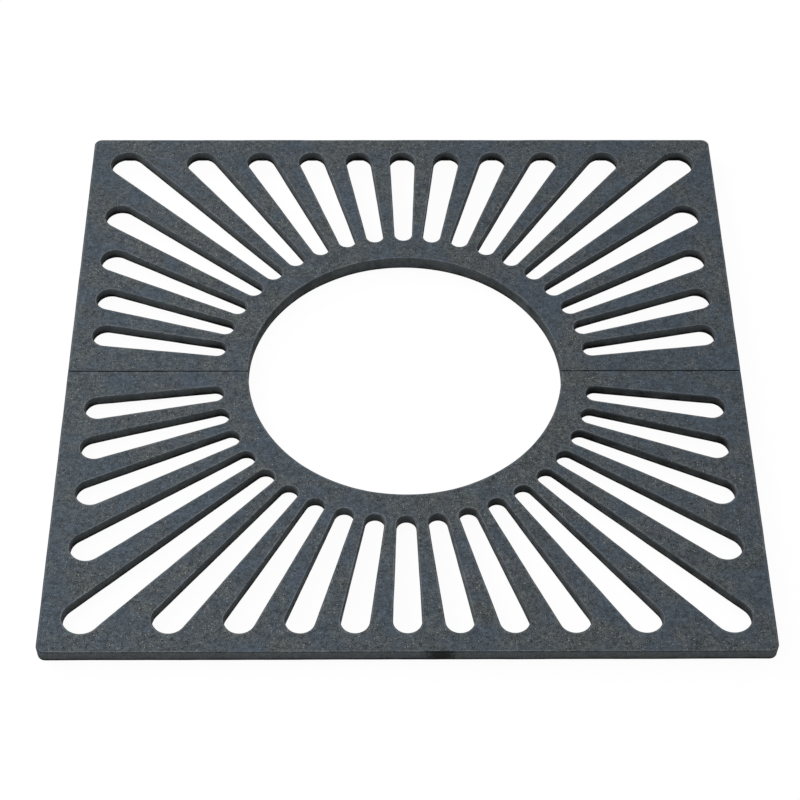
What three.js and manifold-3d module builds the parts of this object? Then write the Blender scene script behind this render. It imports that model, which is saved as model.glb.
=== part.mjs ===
// A cast iron tree grate: a square grating in two equal halves, with a round opening for the trunk.
// The halves are one casting used twice, turned half a turn, and are bolted together under the seam.
// Units are millimetres and +Z is up. The origin is the middle of the opening, on the level that the
// ring and the joint flanges stand on. +X runs along the seam, and the front half lies towards -Y.

import * as THREE from 'three';
import { mergeVertices } from 'three/addons/utils/BufferGeometryUtils.js';
import Module from 'manifold-3d';

const wasm = await Module();
wasm.setup();

// The square plate
const plateSide = 1000;
const plateThickness = 17;
const rimWidth = 28.8;
const rimDrop = 3;
const cornerRadius = 12;
const seamGap = 1.2;
const arris = 1.5;
const draftShare = 0.03;

// The round opening, the collar round its edge and the ring rib behind the collar
const openingRadius = 232;
const collarWidth = 12;
const collarDrop = 6;
const ribWidth = 8;
const ribTaper = 0.6;

// The radiating slots. Each half has its slots at equal turns from seam to seam.
const slotsPerHalf = 19;
const slotRingWidth = 38.7;
const slotInnerRadius = 13.6;
const slotGrowthShare = 0.0375;
const slotInset = 31.2;

// The joint flanges, which hang under the seam on both sides of the opening
const flangeThickness = 10;
const flangeEdgeInset = 52;
const flangeEndSlope = 9;
const padWidth = 26;

// The bolt sets that close the seam
const boltDiameter = 8;
const boltHoleClearance = 0.5;
const boltRibMargin = 12;
const boltEndMargin = 28;
const boltEndProud = 2;
const boltTipChamfer = 1;
const headHeight = 5.3;
const hexFlats = 13;
const hexChamferShare = 0.58;
const nutHeight = 6.8;
const threadClearance = 0.15;
const washerDiameter = 16;
const washerThickness = 1.6;
const washerClearance = 0.2;
const springWasherDiameter = 14;
const springWasherThickness = 2;
const springWasherSlit = 1.2;
const flangeWasherMargin = 0.5;
const seatGap = 0.2;

// How finely round shapes are cut into flats, and how far cutters run past a face
const openingSegments = 96;
const cornerSegments = 4;
const slotInnerSegments = 8;
const slotOuterSegments = 10;
const fastenerSegments = 18;
const overrun = 4;

// Levels and places that follow from the sizes above
const halfSide = plateSide / 2;
const undersideLevel = washerDiameter + 2 * flangeWasherMargin;
const topLevel = undersideLevel + plateThickness;
const plateMiddle = (undersideLevel + topLevel) / 2;
const arrisLevel = topLevel - arris;
const rimLevel = undersideLevel - rimDrop;
const collarLevel = undersideLevel - collarDrop;
const ribInner = openingRadius + collarWidth;
const ribOuter = ribInner + ribWidth;
const seamFace = seamGap / 2;
const flangeFace = seamFace + flangeThickness;
const flangeEnd = halfSide - flangeEdgeInset;
const boltRadius = boltDiameter / 2;
const boltLevel = undersideLevel / 2;
const boltPlaces = {
  right_inner: ribOuter + boltRibMargin,
  right_outer: flangeEnd - boltEndMargin,
  left_inner: -(ribOuter + boltRibMargin),
  left_outer: -(flangeEnd - boltEndMargin),
};

const castIron = { color: 0x53585c, roughness: 0.72, metalness: 0.35 };
const zincSteel = { color: 0xa9adb0, roughness: 0.38, metalness: 0.9 };

// Closed three.js geometry to a solid that can be joined and cut, and back again.
function toSolid(geometry) {
  const bare = geometry.clone();
  bare.deleteAttribute('normal');
  bare.deleteAttribute('uv');
  const merged = mergeVertices(bare);
  const vertProperties = new Float32Array(merged.attributes.position.array);
  const index = merged.index.array;
  const whole = [];
  for (let i = 0; i < index.length; i += 3) {
    const [a, b, c] = index.slice(i, i + 3);
    if (a !== b && b !== c && c !== a) {
      whole.push(a, b, c);
    }
  }
  const triVerts = new Uint32Array(whole);
  return new wasm.Manifold(new wasm.Mesh({ numProp: 3, vertProperties, triVerts }));
}

function toGeometry(solid) {
  const mesh = solid.getMesh();
  const geometry = new THREE.BufferGeometry();
  geometry.setAttribute('position', new THREE.BufferAttribute(mesh.vertProperties, 3));
  geometry.setIndex(new THREE.BufferAttribute(mesh.triVerts, 1));
  geometry.computeVertexNormals();
  return geometry;
}

// A closed skin through outlines of equal count, stacked upwards, with a flat cap at each end.
function loft(levels) {
  const count = levels[0].outline.length;
  const positions = levels.flatMap(({ outline, z }) => outline.flatMap((p) => [p.x, p.y, z]));
  const index = [];
  for (let level = 0; level + 1 < levels.length; level += 1) {
    for (let i = 0; i < count; i += 1) {
      const low = level * count + i;
      const lowNext = level * count + ((i + 1) % count);
      index.push(low, lowNext, lowNext + count, low, lowNext + count, low + count);
    }
  }
  const top = (levels.length - 1) * count;
  for (const [a, b, c] of THREE.ShapeUtils.triangulateShape(levels[0].outline, [])) {
    index.push(c, b, a);
  }
  for (const [a, b, c] of THREE.ShapeUtils.triangulateShape(levels.at(-1).outline, [])) {
    index.push(top + a, top + b, top + c);
  }
  const geometry = new THREE.BufferGeometry();
  geometry.setAttribute('position', new THREE.Float32BufferAttribute(positions, 3));
  geometry.setIndex(index);
  return geometry;
}

// Points of an arc about (x, y), anticlockwise from one angle to another, both ends included.
function arc(x, y, radius, from, to, segments) {
  const curve = new THREE.EllipseCurve(x, y, radius, radius, from, to, false, 0);
  return curve.getPoints(segments);
}

function box(x0, x1, y0, y1, z0, z1) {
  const geometry = new THREE.BoxGeometry(x1 - x0, y1 - y0, z1 - z0);
  geometry.translate((x0 + x1) / 2, (y0 + y1) / 2, (z0 + z1) / 2);
  return toSolid(geometry);
}

// A profile of [radius, height] pairs, anticlockwise, turned about the Z axis. It starts and ends on
// the axis, or else it is closed here.
function turned(profile, segments) {
  const onAxis = profile[0][0] === 0;
  const closed = onAxis ? profile : [...profile, profile[0]];
  const points = closed.map(([r, z]) => new THREE.Vector2(r, z));
  const geometry = new THREE.LatheGeometry(points, segments);
  geometry.rotateX(Math.PI / 2);
  return toSolid(geometry);
}

// The square outline with round corners, drawn in from its full size by an inset.
function plateOutline(inset) {
  const centre = halfSide - cornerRadius;
  const radius = cornerRadius - inset;
  const quarter = Math.PI / 2;
  const corners = [[centre, centre], [-centre, centre], [-centre, -centre], [centre, -centre]];
  return corners.flatMap(([x, y], i) => (
    arc(x, y, radius, i * quarter, (i + 1) * quarter, cornerSegments)));
}

// The plate leans in by the casting draft below its top edge, which has a small arris. Inside the
// deeper rim its underside is a recess.
function plateSolid() {
  const plate = toSolid(loft([
    { outline: plateOutline(draftShare * (topLevel - rimLevel)), z: rimLevel },
    { outline: plateOutline(0), z: arrisLevel },
    { outline: plateOutline(arris), z: topLevel },
  ]));
  const reach = halfSide - rimWidth;
  return plate.subtract(box(-reach, reach, -reach, reach, -overrun, undersideLevel));
}

// The outline of one slot along +X: a small round end near the opening, straight sides that spread,
// and a larger round end that touches the line of the slot inset. grow widens it all round.
function slotOutline(turn, grow) {
  const start = openingRadius + slotRingWidth + slotInnerRadius;
  const reach = halfSide - slotInset - slotInnerRadius + slotGrowthShare * start;
  const slope = Math.max(Math.abs(Math.cos(turn)), Math.abs(Math.sin(turn)));
  const end = reach / (slope + slotGrowthShare);
  const lean = Math.asin(slotGrowthShare);
  const open = Math.PI / 2 + lean;
  const endRadius = slotInnerRadius + slotGrowthShare * (end - start);
  return [
    ...arc(end, 0, endRadius + grow, -open, open, slotOuterSegments),
    ...arc(start, 0, slotInnerRadius + grow, open, 2 * Math.PI - open, slotInnerSegments),
  ];
}

// A cutter for one slot. The slot widens downwards by the draft, so that nothing jams in it.
function slotCutter(station) {
  const turn = (Math.PI * station) / (slotsPerHalf + 1);
  const cutter = loft([
    { outline: slotOutline(turn, draftShare * (plateThickness + overrun)), z: undersideLevel - overrun },
    { outline: slotOutline(turn, 0), z: arrisLevel },
    { outline: slotOutline(turn, arris), z: topLevel },
    { outline: slotOutline(turn, arris), z: topLevel + overrun },
  ]);
  cutter.rotateZ(turn);
  return toSolid(cutter);
}

function openingCutter() {
  const foot = openingRadius + draftShare * (topLevel + overrun);
  const mouth = openingRadius + arris;
  return turned([
    [0, -overrun],
    [foot, -overrun],
    [openingRadius, arrisLevel],
    [mouth, topLevel],
    [mouth, topLevel + overrun],
    [0, topLevel + overrun],
  ], openingSegments);
}

// The collar round the opening and the deeper ring rib behind it, as one turned solid.
function ringSolid() {
  return turned([
    [openingRadius - overrun, collarLevel],
    [ribInner, collarLevel],
    [ribInner + ribTaper, 0],
    [ribOuter - ribTaper, 0],
    [ribOuter, undersideLevel],
    [ribOuter, plateMiddle],
    [openingRadius - overrun, plateMiddle],
  ], openingSegments);
}

// The flange under the seam on the +X side: it starts in the ring rib and ends in a slope.
function flangeSolid() {
  const start = (ribInner + ribOuter) / 2;
  const side = new THREE.Shape([
    new THREE.Vector2(start, 0),
    new THREE.Vector2(flangeEnd, 0),
    new THREE.Vector2(flangeEnd + flangeEndSlope, undersideLevel),
    new THREE.Vector2(flangeEnd + flangeEndSlope, plateMiddle),
    new THREE.Vector2(start, plateMiddle),
  ]);
  const geometry = new THREE.ExtrudeGeometry(side, { depth: flangeThickness, bevelEnabled: false });
  geometry.rotateX(Math.PI / 2);
  geometry.translate(0, flangeFace, 0);
  return toSolid(geometry);
}

// A pad on the seam face round one bolt. The pads of the two halves meet and set the seam's gap.
function padSolid(place) {
  return box(place - padWidth / 2, place + padWidth / 2, 0, flangeFace, 0, undersideLevel);
}

function boltHole(place) {
  const radius = boltRadius + boltHoleClearance;
  const reach = flangeFace + overrun;
  const geometry = new THREE.CylinderGeometry(radius, radius, 2 * reach, fastenerSegments);
  geometry.translate(place, 0, boltLevel);
  return toSolid(geometry);
}

// The rear half: plate and ring are cut on the seam, then get their flanges, pads and bolt holes.
function halfCasting() {
  const far = halfSide + overrun;
  let half = plateSolid().add(ringSolid());
  half = half.subtract(openingCutter());
  half = half.intersect(box(-far, far, seamFace, far, -overrun, topLevel + overrun));
  for (let station = 1; station <= slotsPerHalf; station += 1) {
    half = half.subtract(slotCutter(station));
  }
  const flange = flangeSolid();
  half = half.add(flange).add(flange.mirror([1, 0, 0]));
  for (const place of Object.values(boltPlaces)) {
    half = half.add(padSolid(place));
  }
  for (const place of Object.values(boltPlaces)) {
    half = half.subtract(boltHole(place));
  }
  return toGeometry(half);
}

// A hexagon block standing on z = 0, with its corners turned down at the top, or at both ends.
function hexBlock(height, chamferBottom) {
  const cornerReach = hexFlats / Math.sqrt(3);
  const faceReach = hexFlats / 2;
  const outside = 2 * cornerReach - faceReach;
  const drop = hexChamferShare * (outside - faceReach);
  const hexagon = new THREE.CylinderGeometry(cornerReach, cornerReach, height, 6);
  hexagon.rotateX(Math.PI / 2);
  hexagon.translate(0, 0, height / 2);
  const base = chamferBottom ? [[0, 0], [faceReach, 0], [outside, drop]] : [[0, 0], [outside, 0]];
  const envelope = turned([
    ...base,
    [outside, height - drop],
    [faceReach, height],
    [0, height],
  ], fastenerSegments);
  return toSolid(hexagon).intersect(envelope);
}

// A bolt along +Z: the head stands on z = 0 below the shank, which points up from the head's face.
function boltGeometry(shankLength) {
  const head = hexBlock(headHeight, false).mirror([0, 0, 1]);
  const shank = turned([
    [0, -headHeight / 2],
    [boltRadius, -headHeight / 2],
    [boltRadius, shankLength - boltTipChamfer],
    [boltRadius - boltTipChamfer, shankLength],
    [0, shankLength],
  ], fastenerSegments);
  return toGeometry(head.add(shank));
}

function nutGeometry() {
  const bore = boltRadius + threadClearance;
  const hole = turned([
    [0, -overrun],
    [bore, -overrun],
    [bore, nutHeight + overrun],
    [0, nutHeight + overrun],
  ], fastenerSegments);
  return toGeometry(hexBlock(nutHeight, true).subtract(hole));
}

function washerSolid(outerRadius, thickness) {
  const bore = boltRadius + washerClearance;
  return turned([[bore, 0], [outerRadius, 0], [outerRadius, thickness], [bore, thickness]], fastenerSegments);
}

// A spring washer is a thicker ring, cut through at one side.
function springWasherSolid() {
  const ring = washerSolid(springWasherDiameter / 2, springWasherThickness);
  const reach = springWasherDiameter / 2 + overrun;
  const slit = box(0, reach, -springWasherSlit / 2, springWasherSlit / 2, -overrun, reach);
  return ring.subtract(slit);
}

function piece(name, geometry, finish) {
  const mesh = new THREE.Mesh(geometry, new THREE.MeshStandardMaterial(finish));
  mesh.name = name;
  return mesh;
}

// One bolt set, stacked along +Z from the head's face. Each entry starts above the one before it.
function boltSet(place, name) {
  const stack = new THREE.Group();
  const joint = 2 * flangeFace;
  const headWasherStart = seatGap;
  const jointStart = headWasherStart + washerThickness + seatGap;
  const nutWasherStart = jointStart + joint + seatGap;
  const springStart = nutWasherStart + washerThickness + seatGap;
  const nutStart = springStart + springWasherThickness + seatGap;
  const shankLength = nutStart + nutHeight + boltEndProud;
  const flatWasher = toGeometry(washerSolid(washerDiameter / 2, washerThickness));
  const parts = [
    [`bolt_${name}`, boltGeometry(shankLength), 0],
    [`head_washer_${name}`, flatWasher, headWasherStart],
    [`nut_washer_${name}`, flatWasher, nutWasherStart],
    [`spring_washer_${name}`, toGeometry(springWasherSolid()), springStart],
    [`nut_${name}`, nutGeometry(), nutStart],
  ];
  for (const [partName, geometry, level] of parts) {
    const mesh = piece(partName, geometry, zincSteel);
    mesh.position.z = level;
    stack.add(mesh);
  }
  stack.rotation.x = -Math.PI / 2;
  stack.position.set(place, -(jointStart + joint / 2), boltLevel);
  return stack;
}

const grate = new THREE.Group();
const casting = halfCasting();
const rearHalf = piece('rear_half', casting, castIron);
const frontHalf = piece('front_half', casting, castIron);
frontHalf.rotation.z = Math.PI;
grate.add(rearHalf, frontHalf);
for (const [name, place] of Object.entries(boltPlaces)) {
  grate.add(boltSet(place, name));
}

export default grate;
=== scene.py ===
# %% [markdown]
# # A cast iron tree grate
# A tree grate is a heavy grating that lies flush with the paving round a young tree. Water and air
# pass through its slots, and people walk over it. This one is square, with a round opening for the
# trunk, and it is cast in two equal halves, so that it can be laid round a tree that already stands.
# The halves meet on a fine seam and are bolted together under it.
#
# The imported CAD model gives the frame: where each piece is and how large it is. This lesson puts the
# finished look on that frame, with soft edges, cast skin, paint and plating.

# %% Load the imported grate
from math import asin, atan, ceil, cos, pi, radians, sin, sqrt, tan

import bmesh
import bpy
import numpy as np
from mathutils import Matrix, Vector
from mathutils.geometry import delaunay_2d_cdt, tessellate_polygon


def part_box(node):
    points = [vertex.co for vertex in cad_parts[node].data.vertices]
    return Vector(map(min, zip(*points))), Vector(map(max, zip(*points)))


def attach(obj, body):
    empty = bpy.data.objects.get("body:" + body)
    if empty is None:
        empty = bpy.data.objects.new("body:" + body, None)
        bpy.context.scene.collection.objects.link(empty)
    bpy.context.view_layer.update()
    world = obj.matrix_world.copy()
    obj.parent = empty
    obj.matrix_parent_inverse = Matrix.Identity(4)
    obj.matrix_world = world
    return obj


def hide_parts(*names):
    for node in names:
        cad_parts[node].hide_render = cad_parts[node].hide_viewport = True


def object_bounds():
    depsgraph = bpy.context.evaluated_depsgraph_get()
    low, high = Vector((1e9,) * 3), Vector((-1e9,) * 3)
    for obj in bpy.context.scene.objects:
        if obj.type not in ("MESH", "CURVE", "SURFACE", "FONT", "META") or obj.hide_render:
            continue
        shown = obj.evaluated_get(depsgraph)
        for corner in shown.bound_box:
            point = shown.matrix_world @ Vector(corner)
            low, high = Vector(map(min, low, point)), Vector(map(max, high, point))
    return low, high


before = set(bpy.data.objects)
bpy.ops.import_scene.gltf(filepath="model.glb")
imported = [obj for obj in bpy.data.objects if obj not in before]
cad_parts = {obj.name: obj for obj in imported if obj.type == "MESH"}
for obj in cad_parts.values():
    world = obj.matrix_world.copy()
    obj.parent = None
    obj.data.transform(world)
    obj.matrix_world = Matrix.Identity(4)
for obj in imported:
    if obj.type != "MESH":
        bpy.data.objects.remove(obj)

cad_low, cad_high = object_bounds()
print("nodes:", len(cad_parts), "box:", cad_low, cad_high)

# %% [markdown]
# ## Sizes
# The drawing of a casting starts with its sizes. They repeat those of the CAD model, in metres. The
# cast skin below will swell and sink by a fraction of a millimetre, so the outer faces are first
# drawn in by a little more than that. So the finished grate stays inside the box of the CAD model.

# %% Name the sizes
MM = 0.001
SWELL = 0.16 * MM
DRAW_IN = 0.2 * MM

SIDE_HALF = cad_high.x
HALF = SIDE_HALF - DRAW_IN
TOP = cad_high.z - DRAW_IN
FOOT = cad_low.z + DRAW_IN
UNDERSIDE = 17 * MM
RIM_LEVEL = 14 * MM
COLLAR_LEVEL = 11 * MM
CORNER = 12 * MM
RIM_WIDTH = 28.8 * MM
RIM_CORNER = 8 * MM
ARRIS = 1.1 * MM
SEAM_FACE = 0.6 * MM
SEAM_ARRIS = 0.8 * MM
SEAM = SEAM_FACE + SEAM_ARRIS
DRAFT = 0.03

OPENING = 232 * MM
RIB_INNER = OPENING + 12 * MM
RIB_OUTER = RIB_INNER + 8 * MM
RIB_TAPER = 0.6 * MM

SLOTS = 19
BARS = SLOTS + 1
BAR_TURN = pi / BARS
SLOT_START = OPENING + 38.7 * MM
SLOT_RADIUS = 13.6 * MM
SLOT_GROWTH = 0.0375
SLOT_INSET = 31.2 * MM
print("half side", HALF, "top", TOP, "bars in each half", BARS)

# %% [markdown]
# ## Soft edges
# Nothing cast in sand has a sharp edge. The sand would crumble there, so the pattern maker rounds
# each outer edge and puts a fillet in each inner corner. A Bevel modifier could round a finished
# mesh, but on so many slots it leaves pinched corners. It is cleaner to draw the cross-section with
# its arcs once, and then to carry that line along each edge. The line begins with two narrow strips
# of the walking face and ends where the underside begins.

# %% Round the corners of a cross-section
ARC_CUTS = 4


def rounded_profile(corners, step=2.5 * MM, cuts=ARC_CUTS):
    """A line through corners given as (across, up, radius). Each inner corner becomes an arc: its
    start, plus the radius times (sine of the turn along the way in, and one minus cosine towards the
    inside of the bend). The straight runs between arcs are cut into equal steps. The line runs from
    the first arc to the last, and the end corners only give directions. Returns across and up."""
    corners = np.array(corners, float)
    points = corners[:, :2]
    legs = np.diff(points, axis=0)
    legs /= np.linalg.norm(legs, axis=1)[:, None]
    runs = []
    for (across, up, radius), into, out in zip(corners[1:-1], legs[:-1], legs[1:]):
        bend = np.arctan2(into[0] * out[1] - into[1] * out[0], into @ out)
        inside = np.sign(bend) * np.array([-into[1], into[0]])
        start = np.array([across, up]) - into * radius * tan(abs(bend) / 2)
        turn = np.linspace(0, abs(bend), cuts + 1)[:, None]
        arc = start + radius * (np.sin(turn) * into + (1 - np.cos(turn)) * inside)
        if runs:
            last = runs[-1][-1]
            count = ceil(np.linalg.norm(arc[0] - last) / step)
            runs.append(last + np.arange(1, count)[:, None] / count * (arc[0] - last))
        runs.append(arc)
    return np.concatenate(runs).T


# %% [markdown]
# ## Three cross-sections
# A half has three kinds of wall: in the slots, in the opening, and at the rim. Each kind has one
# cross-section, given by a few corners with their radii. The opening's line goes on round the collar
# and the rib under the ring, and the rim's line goes on round the thick edge that lies on the frame.

# %% Draw the three cross-sections of a half
FAR = 6 * MM
LAND = 1.9 * MM


def add_lands(profile):
    """Puts two narrow flat strips before a cross-section, on the walking face. They keep the shading
    of the round edge from spreading over the wide flat."""
    strips = profile[:, :1] + [[LAND, 0.4 * LAND], [0, 0]]
    return np.c_[strips, profile]


slot_profile = add_lands(rounded_profile([
    (FAR, TOP, 0),
    (0, TOP, ARRIS),
    (DRAFT * (TOP - UNDERSIDE), UNDERSIDE, 0.6 * MM),
    (FAR, UNDERSIDE, 0),
]))
ring_profile = add_lands(rounded_profile([
    (OPENING + FAR, TOP, 0),
    (OPENING, TOP, ARRIS),
    (OPENING + DRAFT * (TOP - COLLAR_LEVEL), COLLAR_LEVEL, 1.2 * MM),
    (RIB_INNER, COLLAR_LEVEL, 2.5 * MM),
    (RIB_INNER + RIB_TAPER, FOOT, 1 * MM),
    (RIB_OUTER - RIB_TAPER, FOOT, 1 * MM),
    (RIB_OUTER, UNDERSIDE, 3 * MM),
    (RIB_OUTER + FAR, UNDERSIDE, 0),
]))
rim_profile = add_lands(rounded_profile([
    (FAR, TOP, 0),
    (0, TOP, ARRIS),
    (DRAFT * (TOP - RIM_LEVEL), RIM_LEVEL, 1.2 * MM),
    (RIM_WIDTH, RIM_LEVEL, 1 * MM),
    (RIM_WIDTH + 0.4 * MM, UNDERSIDE, 0.5 * MM),
    (RIM_WIDTH + 2 * FAR, UNDERSIDE, 0),
]))
print("points: slot", slot_profile.shape[1], "ring", ring_profile.shape[1], "rim", rim_profile.shape[1])

# %% [markdown]
# ## The plan in polar form
# All lines of the grate radiate from the middle, so its plan is easiest in polar form: a distance
# from the middle, and an angle. The slots need one formula, and the rim another. The rim's formula
# is written for any regular polygon with round corners, because the hexagons of the bolts and nuts
# can use it too.

# %% Find the edge of a polygon with round corners
def polygon_reach(angle, apothem, corner, sides):
    """Distance from the middle to the edge, at an angle. On a flat it is the apothem over the cosine
    of the angle from that flat's middle. On a round corner it is the way along the line to beside the
    corner circle's centre, plus the root of its radius squared less the centre's offset squared."""
    half_turn = pi / sides
    away = np.abs((angle + half_turn) % (2 * half_turn) - half_turn)
    centre = (apothem - corner) / cos(half_turn)
    offset = centre * np.sin(half_turn - away)
    round_end = centre * np.cos(half_turn - away)
    round_end = round_end + np.sqrt(np.maximum(corner**2 - offset**2, 0))
    on_flat = apothem * np.tan(away) <= (apothem - corner) * tan(half_turn)
    return np.where(on_flat, apothem / np.cos(away), round_end)


# %% [markdown]
# ## The slots
# A slot is a small circle near the opening and a large one near the rim, with a thread pulled tight
# round both. The two straight runs of the thread touch the circles, so there is no corner between
# them. They lean away from the ray by the angle that has the growth of the radius as its sine.

# %% Trace the long sides of the slots
SMALL_CUTS = 8
LONG_CUTS = 54
LARGE_CUTS = 12
slot_turn = BAR_TURN * np.arange(1, SLOTS + 1)[:, None, None]


def slot_circles():
    """Where the two end circles of every slot lie on its ray, and the radius of the large one. The
    large one touches the line of the slot inset: its distance times the ray's larger cosine, plus
    its radius, is that line's distance from the middle."""
    slope = np.maximum(np.abs(np.cos(slot_turn)), np.abs(np.sin(slot_turn)))
    start = SLOT_START + SLOT_RADIUS
    reach = SIDE_HALF - SLOT_INSET - SLOT_RADIUS + SLOT_GROWTH * start
    end = reach / (slope + SLOT_GROWTH)
    return start, end, SLOT_RADIUS + SLOT_GROWTH * (end - start)


def ray_arc(centre, radius, turns):
    """Points of an arc whose centre lies on the ray: x along the ray, and y beside it."""
    return np.stack(np.broadcast_arrays(centre + radius * np.cos(turns), radius * np.sin(turns)))


def slot_sides(grow):
    """One long side of every slot, from its tip at the opening to its tip at the rim. A slot is the
    hull of two circles, and grow widens it all round. Returns distance and swing from the ray, for
    each slot, value of grow, and point."""
    grow = np.reshape(grow, (1, -1, 1))
    start, end, end_radius = slot_circles()
    lean = pi / 2 + asin(SLOT_GROWTH)
    small = np.linspace(pi, lean, SMALL_CUTS + 1)
    large = np.linspace(lean, 0, LARGE_CUTS + 1)
    share = np.linspace(0, 1, LONG_CUTS + 1)[1:-1]
    start_arc = ray_arc(start + 0 * end, SLOT_RADIUS + grow, small)
    end_arc = ray_arc(end, end_radius + grow, large)
    side = start_arc[..., -1:] + share * (end_arc[..., :1] - start_arc[..., -1:])
    x, y = np.concatenate([start_arc, side, end_arc], axis=-1)
    return np.hypot(x, y), np.arctan2(y, x)


wide, swing = slot_sides(0)
print("slot widths at the rim, mm:", np.round(2000 * (wide * np.sin(swing)).max(axis=(1, 2)), 1))

# %% [markdown]
# ## Walls
# The walls of the slots, the opening and the rim are one idea three times. A cross-section is
# carried along an edge, so a grid has the cross-section in one direction and the edge in the other.
#
# The ring and the rim are shared out in 20 parts, one for each bar between two slots. Next to the
# corners of the square the points move together, so that five of them follow the round corner.

# %% Share out the points of the ring and the rim
ACROSS = 10
even_share = np.linspace(0, 1, ACROSS + 1)
corner_share = (atan((HALF - CORNER) / HALF) % BAR_TURN) / BAR_TURN
up_to_corner = np.linspace(0, corner_share, ACROSS // 2 + 1)
past_corner = np.linspace(corner_share, 1, ACROSS // 2 + 1)[1:]
towards_corner = np.concatenate([up_to_corner, past_corner])
rim_share = np.tile(even_share, (BARS, 1))
rim_share[[BARS // 4 - 1, 3 * BARS // 4 - 1]] = towards_corner
rim_share[[BARS // 4, 3 * BARS // 4]] = 1 - towards_corner[::-1]
rim_share = rim_share[:, None, :]
print("points near the corner:", np.round(towards_corner, 3))


# %% [markdown]
# ## Between the rays
# On the ring and the rim, the points of a part lie between two rays, and blending finds them: one
# angle plus a share of the way to the next. The first and the last line of a half are its seam. They
# don't pass through the middle but beside it, so their angle changes with the distance.

# %% Lay rays between the bars
def borders(seam_angle):
    """Angles of the 21 lines between and beside the bars: equal turns, except the first and the
    last, which follow the seam."""
    seam_angle = np.atleast_1d(seam_angle)
    turns = np.repeat(BAR_TURN * np.arange(BARS + 1)[:, None], len(seam_angle), axis=1)
    turns[0] = seam_angle
    turns[-1] = pi - seam_angle
    return turns


def blend(low, high, share):
    """The low value plus its share of the way to the high one."""
    return low + (high - low) * share


def from_polar(distance, angle, level):
    """Points from distance, angle and height, as one array."""
    x, y, z = np.broadcast_arrays(distance * np.cos(angle), distance * np.sin(angle), level)
    return np.stack([x, y, z], axis=-1)


# %% [markdown]
# ## Sweeping
# Blender can sweep one curve along another, but then it chooses where the points lie, and the flats
# have to meet these walls point by point. Here every row is worked out: the cross-section says how
# far it lies behind the edge and how high, and the edge's formula gives its points at that distance.

# %% Carry the cross-sections along their edges
def slot_walls():
    """The slot's section along its outline: out along one side and back along the other, which is
    the same side with the swing turned round."""
    grow, level = slot_profile
    radius, swing = slot_sides(grow)
    radius = np.concatenate([radius, radius[..., -2:0:-1]], axis=-1)
    swing = np.concatenate([swing, -swing[..., -2:0:-1]], axis=-1)
    return from_polar(radius, slot_turn + swing, level[None, :, None])


def ring_wall():
    """The ring's section along arcs of the opening. The angle of the seam's line has the seam's
    offset over the distance as its sine."""
    radius, level = ring_profile
    turns = borders(np.arcsin(SEAM / radius))
    angle = blend(turns[:-1, :, None], turns[1:, :, None], even_share)
    return from_polar(radius[:, None], angle, level[:, None])


def rim_wall():
    """The rim's section along the square. The corner radius shrinks with the inset on the outside,
    and goes over to that of the recess. The seam's line has the offset over the reach as its
    tangent."""
    inset, level = rim_profile
    corner = np.interp(inset, [0, RIM_WIDTH, RIM_WIDTH + RIM_CORNER], [CORNER, RIM_CORNER, 0])
    outside = inset < FAR
    corner[outside] = CORNER - inset[outside]
    turns = borders(np.arctan(SEAM / (HALF - inset)))
    angle = blend(turns[:-1, :, None], turns[1:, :, None], rim_share)
    reach = polygon_reach(angle, HALF - inset[:, None], corner[:, None], 4)
    return from_polar(reach, angle, level[:, None])


slots = slot_walls()
ring = ring_wall()
rim = rim_wall()
print("grids: slots", slots.shape, "ring", ring.shape, "rim", rim.shape)

# %% [markdown]
# ## Flats
# The walking face and the underside are flat, with 19 holes of other lengths. A grid of rows and
# columns has to bend round them, and near the ends of the slots its rows run into the holes. So the
# flats are filled another way. Points are spread over them in a lattice of equal triangles, and a
# Delaunay triangulation joins them with the border points of the walls, with as few thin triangles
# as it can. Then what lies in a hole is left out.

# %% Measure the way to the nearest slot
def slot_gap(x, y):
    """How far points are from the nearest slot, and less than nothing inside one. Beside a slot it
    is the distance to the line of its side. Beyond its ends it is that to the end's circle."""
    start, end, end_radius = slot_circles()
    length = (end - start).ravel()
    turn = slot_turn.ravel()
    along = x[:, None] * np.cos(turn) + y[:, None] * np.sin(turn) - start
    aside = np.abs(y[:, None] * np.cos(turn) - x[:, None] * np.sin(turn))
    lean = sqrt(1 - SLOT_GROWTH**2)
    place = SLOT_GROWTH * aside + lean * along
    gap = lean * aside - SLOT_GROWTH * along - SLOT_RADIUS
    gap = np.where(place < 0, np.hypot(aside, along) - SLOT_RADIUS, gap)
    far_end = np.hypot(aside, along - length) - end_radius.ravel()
    return np.where(place > lean * length, far_end, gap).min(axis=1)


# %% [markdown]
# ## Points in a lattice
# Every other row of the lattice is shifted by half a step, which makes triangles with three equal
# sides. Points too close to a border would make thin ones, so the lattice keeps away from it.

# %% Fill the flats
FLAT_STEP = 4.5 * MM
ROW_STEP = FLAT_STEP * sqrt(0.75)
BORDER_MARGIN = 0.45 * FLAT_STEP
RIM_MARGINS = 1.4
SAME_POINT = 1e-7


def seam_run(row, left):
    """Points on one flat along the seam, from the border of the ring to that of the rim."""
    column = -1 if left else 0
    start = ring[column, row, column]
    end = rim[column, row, column]
    count = ceil(np.linalg.norm(end - start) / FLAT_STEP)
    return blend(start, end, np.linspace(0, 1, count + 1)[:, None])


def loop_edges(start, count):
    """Joins each point of a loop to the next one, and the last to the first."""
    index = np.arange(count)
    return np.stack([index, (index + 1) % count], axis=1) + start


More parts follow.
